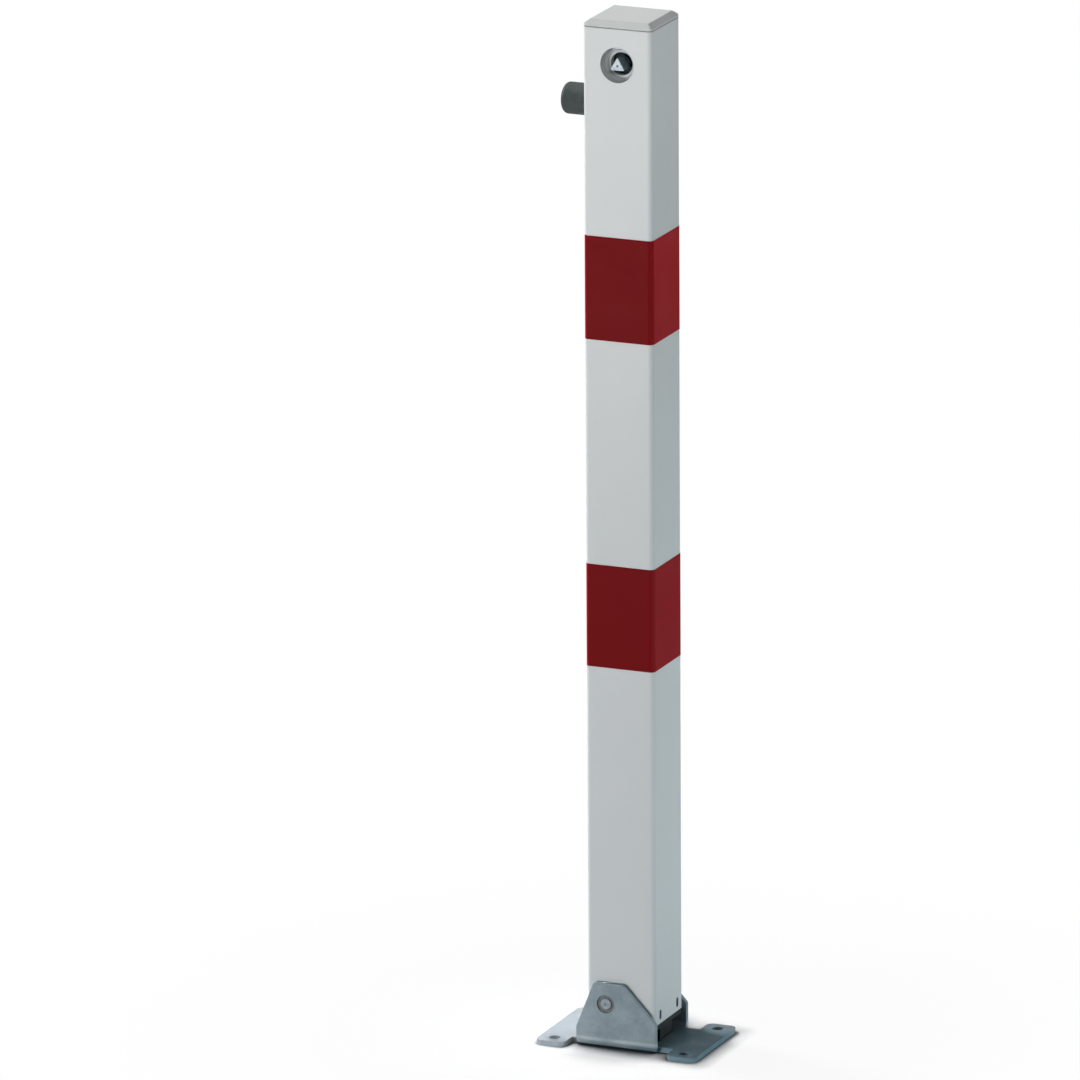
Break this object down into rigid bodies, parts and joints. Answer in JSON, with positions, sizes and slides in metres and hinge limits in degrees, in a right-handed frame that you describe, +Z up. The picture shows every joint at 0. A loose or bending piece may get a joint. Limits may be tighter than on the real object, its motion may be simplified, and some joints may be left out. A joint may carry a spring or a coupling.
{
  "type": "fold-down bollard",
  "caption": "Square parking post with red bands that folds down on a galvanised base bracket once a triangular-key latch is drawn",
  "frame": {"origin": "on the ground, under the centre of the upright post's square section", "axes": "+Z up along the post; -Y the face with the key recess; -X the side with the buffer, towards which the post folds down"},
  "size_m": [0.165, 0.11, 1.008],
  "materials": {
    "white_coat": "satin white powder coat over galvanised steel",
    "red_film": "retroreflective red film, slightly glossy",
    "galvanised": "hot-dip galvanised, mottled and dull",
    "bright_steel": "zinc plated and turned",
    "dark_steel": "blackened steel",
    "nylon": "dark nylon",
    "rubber": "matt dark rubber"
  },
  "bodies": {
    "base": {"base_bracket": "galvanised", "catch_block": "dark_steel", "hinge_bush_front": "nylon", "hinge_bush_rear": "nylon"},
    "post": {"post_tube": "white_coat", "foot_plate": "dark_steel", "top_cap": "white_coat", "band_lower": "red_film", "band_upper": "red_film", "hinge_sleeve": "bright_steel", "hinge_pin": "bright_steel", "hinge_cross_pin": "bright_steel", "latch_guide": "dark_steel", "rod_guide_middle": "galvanised", "rod_guide_upper": "galvanised", "lock_cup": "white_coat", "lock_tube": "galvanised", "spindle_bush": "dark_steel", "rear_bearing": "bright_steel", "rubber_buffer": "rubber", "buffer_stud": "bright_steel", "buffer_washer": "bright_steel", "buffer_nut": "bright_steel"},
    "spindle": {"key_spindle": "bright_steel", "crank_arm": "bright_steel", "crank_pin": "bright_steel", "crank_cross_pin": "bright_steel", "crank_washer": "bright_steel"},
    "rod": {"lock_rod": "bright_steel", "rod_yoke": "bright_steel", "yoke_cross_pin": "bright_steel", "latch_bolt": "bright_steel", "bolt_cross_pin": "bright_steel"}
  },
  "joints": [
    {"name": "fold", "type": "hinge", "parent": "base", "child": "post", "pos_m": [-0.0136, 0, 0.044], "axis": [0, -1, 0], "range_deg": [0, 89.3]},
    {"name": "latch_slide", "type": "slide", "parent": "post", "child": "rod", "axis": [0, 0, -1], "range_m": [0, 0.014]},
    {"name": "key_turn", "type": "hinge", "parent": "post", "child": "spindle", "pos_m": [0, 0, 0.9655], "axis": [0, 1, 0], "range_deg": [0, 60]}
  ],
  "couplings": [
    {"joint": "key_turn", "follows": "latch_slide", "rad_per_m": 74.799}
  ]
}
